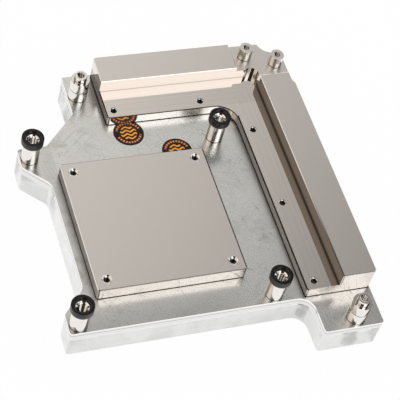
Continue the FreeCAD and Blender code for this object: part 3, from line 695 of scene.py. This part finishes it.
# %% Screw steel
screw_steel, g = material("screw_steel")
wipe = g.noise(g.place(), 0.9, 3.0, 0.6)
g.surface(Base_Color=g.mix(wipe, (0.46, 0.455, 0.445), (0.60, 0.595, 0.58)), Metallic=1.0,
          Roughness=0.26 + wipe * 0.14)
print("screw finish made")

# %% Thread nickel
# the thread catches the light at its mouth, and painted shade makes it dark below
thread_nickel, g = material("thread_nickel")
x, y, z = g.axes(g.place(CPU))
in_pad = (x * x).most(y * y) < 29.0 ** 2
depth = PLATE + 4.4 + in_pad * 0.85 - z
painted_depth_shade = (depth + g.noise(g.place(), 2.0, 2.0, 0.5) * 0.3).ramp(0.50, 1.0)
g.surface(Base_Color=g.mix(painted_depth_shade, (0.97, 0.955, 0.935), (0.03, 0.026, 0.023)), Metallic=1.0,
          Roughness=0.10)
print("thread nickel made")


# %% One screw of each kind
def copy_of(mesh, name, place):
    """A new object with its own copy of a mesh, moved to its place."""
    copied = mesh.copy()
    copied.transform(Matrix.Translation(place))
    piece = bpy.data.objects.new(name, copied)
    bpy.context.scene.collection.objects.link(piece)
    return piece


def make_screw(low, high):
    """The mesh of one socket screw on the vertical axis."""
    seat, head_radius, key_radius = low + 1.65, 2.75, 1.155
    bm = bmesh.new()
    spin_profile(bm, [(0, low), (head_radius, low), (head_radius, seat), (0, seat)], 48)
    break_edges(bm, 0.18, 2)
    head = finish_mesh(bm, "head", Vector())
    bm = bmesh.new()
    bmesh.ops.create_cone(bm, cap_ends=True, segments=6, radius1=key_radius * MM,
                          radius2=key_radius * MM, depth=2.0 * MM,
                          matrix=Matrix.Translation((0, 0, low * MM)))
    cut(head, finish_mesh(bm, "key", Vector()))
    bm = bmesh.new()
    threaded_rod(bm, 1.46, 1.22, 0.5, seat - 0.2, high, 20)
    bm.from_mesh(head.data)
    bpy.data.objects.remove(head)
    screw = finish_mesh(bm, "screw", Vector())
    mesh = screw.data
    bpy.data.objects.remove(screw)
    return mesh


screws = [name for name in nodes if "_screw_" in name]
masters = {}
for name in screws:
    axis, low, high = middle(name)
    kind = name.split("_")[0]
    if kind not in masters:
        masters[kind] = make_screw(low / MM, high / MM)
    stand_for(copy_of(masters[kind], f"fitted_{name}", axis), name, screw_steel)
print("screws:", len(screws), "with", len(masters["assembly"].polygons), "faces each")

# %% [markdown]
# ## Threads of the tapped holes
#
# The base is never cut here, so each thread is a thin lining in its hole: a plug of the hole's
# size, with the tap cut out of it. One lining is made for the pad and one for the block's floor,
# and the others are copies.

# %% Threads of the tapped holes
for name in screws:
    if name.startswith("clamp"):
        continue
    axis, low, high = middle(name)
    from_axis = axis - CPU
    kind = "pad thread" if max(abs(from_axis.x), abs(from_axis.y)) < 29 * MM else "floor thread"
    if kind not in masters:
        # the thread starts under the chamfer of its hole
        bottom = high / MM + 0.05
        top = PLATE + (PAD_HIGH - 0.36 if kind == "pad thread" else FLOOR_HIGH - 0.12)
        bm = bmesh.new()
        spin_profile(bm, [(0, bottom), (1.54, bottom), (1.54, top), (0, top)], 40)
        thread = finish_mesh(bm, "thread", Vector())
        cut(thread, tap(1.50, 1.27, 0.5, bottom - 0.5, top + 0.5, Vector()))
        masters[kind] = thread.data
        bpy.data.objects.remove(thread)
    thread = copy_of(masters[kind], f"thread_of_{name}", axis)
    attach(thread, "root")
    thread.data.materials.append(thread_nickel)
print("threads in the base:", len(screws) - 2)

# %% [markdown]
# ## Seal and jet plate
#
# The seal is black rubber cord, dull, with a trace of silicone grease that shines in patches. The
# jet plate is thin stainless sheet with the long grain of the rolling mill. Both are seen through
# the clear body from below.

# %% Seal rubber and jet sheet
rubber, g = material("seal_rubber")
grease = g.noise(g.place(CPU), 0.35, 4.0, 0.6).ramp(0.45, 0.62)
pores = g.noise(g.place(CPU), 6.0, 2.0, 0.6)
g.surface(Base_Color=g.mix(pores, (0.012, 0.012, 0.013), (0.030, 0.029, 0.028)),
          Roughness=0.62 - grease * 0.34 + pores * 0.06, Normal=g.bump(pores, 0.15, 0.00005))
wear("seal_ring", rubber)
sheet_steel, g = material("jet_steel")
mill = g.noise(g.place(CPU, (6.0, 0.08, 1.0)), 1.0, 3.0, 0.6)
smudge = g.noise(g.place(CPU), 0.12, 4.0, 0.6)
g.surface(Base_Color=g.mix(mill, (0.50, 0.49, 0.475), (0.66, 0.655, 0.64)), Metallic=1.0,
          Roughness=0.20 + mill * 0.12 + smudge * 0.10, Normal=g.bump(mill, 0.05, 0.00003))
wear("jet_plate", sheet_steel)
print("seal and jet plate finished")

# %% [markdown]
# ## Printed labels
#
# The labels are thin black film with an orange print. The print is drawn by distance and angle
# from each label's middle: a ring of short dashes with two gaps, and four waves, a plain sign for
# coolant. Both labels share the material, and the place decides which middle counts.

# %% Label print
FIRST, SECOND = Vector((3.8, 44.0)), Vector((20.6, 32.5))
DASHES, ROW = 26, 1.75
label_print, g = material("label_print")
x, y = g.axes(g.place(CPU))[:2]
second = x > (FIRST.x + SECOND.x) / 2
px = x - (FIRST.x + second * (SECOND.x - FIRST.x))
py = y - (FIRST.y + second * (SECOND.y - FIRST.y))
radius = (px * px + py * py).turned_by("SQRT")
angle = py.maths("ARCTAN2", py, px)
dashes = (angle * (DASHES / math.tau)).turned_by("FRACT")
halves = (angle * (2 / math.tau)).turned_by("FRACT")
ring = radius.near(4.75, 0.42) * (dashes > 0.42) * halves.near(0.5, 0.40)
ripple = (px * 1.9).turned_by("SINE") * 0.42
rows = ((py + ripple) * (1 / ROW)).turned_by("FRACT")
waves = rows.near(0.5, 0.24) * (radius < 3.35)
film = g.noise(g.place(), 1.5, 3.0, 0.6)
ink = g.mix(waves, (0.010, 0.008, 0.007), (0.95, 0.36, 0.035))
ink = g.mix(ring, ink, (0.90, 0.27, 0.06))
g.surface(Base_Color=ink, Roughness=0.30 + film * 0.10, Coat_Weight=0.08, Specular_IOR_Level=0.25,
          Normal=g.bump(film, 0.05, 0.0002))
wear("label_1", label_print)
wear("label_2", label_print)
print("label print:", DASHES, "dashes round the ring")

# %% [markdown]
# ## The table
#
# The part lies on a white table. Camera, glossy and transmitted rays see mostly plain white, and a
# small share of the real shading stays in, which keeps the soft shadow round the part. From below
# the table is clear, so that the ports and the screws can be looked at too. It lies a hair above
# the part's lower face, since two faces in one plane would fight.

# %% The table
bm = bmesh.new()
bmesh.ops.create_grid(bm, x_segments=1, y_segments=1, size=2.5)
table = finish_mesh(bm, "table", Vector((0, 0, 0.02 * MM)))
table_white, g = material("table_white")
cloth = g.principled(Base_Color=(0.92, 0.92, 0.92, 1.0), Roughness=0.7)
glow = g.node("ShaderNodeEmission", None, Color=(1.0, 1.0, 1.0, 1.0), Strength=1.0)
ray = g.node("ShaderNodeLightPath")
seen = ray.beside("Is Camera Ray") + ray.beside("Is Glossy Ray") + ray.beside("Is Transmission Ray")
sheet = g.node("ShaderNodeMixShader", None, seen.least(1.0) * 0.97, cloth, glow)
from_below = g.node("ShaderNodeNewGeometry").beside("Backfacing")
g.two_surfaces(from_below, sheet, g.node("ShaderNodeBsdfTransparent"))
table.data.materials.append(table_white)
print("table made")

# %% [markdown]
# ## The studio
#
# Polished metal shows the room more than itself. The room is a dome drawn by direction: white near
# the horizon like the table, and higher up two wide soft panels, a dimmer one behind the part, a
# low one at the left, a light overhead, and the dark gaps between them.

# %% The dome
world = bpy.data.worlds.new("studio")
bpy.context.scene.world = world
g = Graph(world)
dx, dy, dz = g.axes(g.node("ShaderNodeTexCoord", None, output=0))
bearing = dx.maths("ARCTAN2", dx, dy) * (180 / math.pi)


def panel(bearing, start, end, soft):
    """1 between two bearings in degrees, clockwise from the back, with soft sides."""
    return bearing.ramp(start - soft, start + soft) * bearing.ramp(end + soft, end - soft)


# the horizon's white stands higher behind the part than elsewhere
wide_band = bearing.ramp(-14, -6) * bearing.ramp(44, 36)
high_up = g.blend(wide_band, dz.ramp(0.36, 0.52), dz.ramp(0.52, 0.60))
front_right = panel(bearing, 128, 204, 5) * dz.ramp(0.34, 0.62)
left = panel(bearing, -125, -62, 4)
low_left = panel(bearing, -72, -44, 4) * dz.ramp(0.20, 0.26) * dz.ramp(0.48, 0.42)
fading = ((54.0 - bearing) * (1 / 29)).least(1.1).most(0.0)
behind = bearing.ramp(-20, 6) * fading * dz.ramp(0.34, 0.72)
sides = front_right * 1.60 + left * 0.95 * dz.ramp(0.24, 0.34) + behind * 0.72 + low_left * 0.5
# the light overhead is weaker in its middle
overhead = dz.ramp(0.92, 0.95) * (1.65 - dz.ramp(0.955, 0.985) * 0.80)
lit = sides * dz.ramp(0.90, 0.86) + overhead

# %% [markdown]
# ## The colours of the dome
#
# The left panel is warmer than the others, and the gaps aren't quite black. Only mirrored and
# transmitted rays see the dome. Matt surfaces are lit by an even pale sky, and the camera sees
# plain white past the table.

# %% The colours of the dome
tint = g.mix(behind.least(1.0), (1.0, 0.995, 0.985), (1.0, 0.96, 0.92))
tint = g.mix(left, tint, (1.0, 0.90, 0.78))
brown_gap = panel(bearing, -62, -10, 6) * dz.ramp(0.5, 0.65)
dim = g.mix(brown_gap, (0.035, 0.026, 0.021), (0.225, 0.185, 0.155))
adding = {"data_type": "RGBA", "blend_type": "ADD"}
room = g.node("ShaderNodeMix", adding, 1.0, g.shade_by(tint, lit), dim)
room = g.mix(high_up, (0.94, 0.94, 0.94), room)
ray = g.node("ShaderNodeLightPath")
mirror = (ray.beside("Is Glossy Ray") + ray.beside("Is Transmission Ray")).least(1.0)
eye = ray.beside("Is Camera Ray")
sky = g.mix(mirror, (0.95, 0.95, 0.95), room)
sky = g.mix(eye, sky, (1.0, 1.0, 1.0))
g.node("ShaderNodeOutputWorld", None, g.node("ShaderNodeBackground", None, sky, 1.0))
print("dome made:", len(g.tree.nodes), "nodes")

# %% [markdown]
# ## The camera
#
# The camera looks down at about fifty degrees through a long lens. Its place, tilt and lens were
# solved from the square of standoffs, the pad's corners, the straight edges and the round ones.

# %% The camera
camera_data = bpy.data.cameras.new("camera")
camera_data.sensor_width = 36.0
camera_data.lens = 133.228
camera_data.shift_x = 0.02784
camera_data.shift_y = -0.01539
camera_data.clip_start = 0.01
camera = bpy.data.objects.new("camera", camera_data)
camera.location = (-0.178908, -0.301993, 0.456393)
camera.rotation_euler = Euler([math.radians(angle) for angle in (37.38994, -10.79866, -17.00192)])
bpy.context.scene.collection.objects.link(camera)
bpy.context.scene.camera = camera
bpy.context.scene.view_settings.view_transform = "Standard"
print("camera placed, lens", camera_data.lens, "mm")
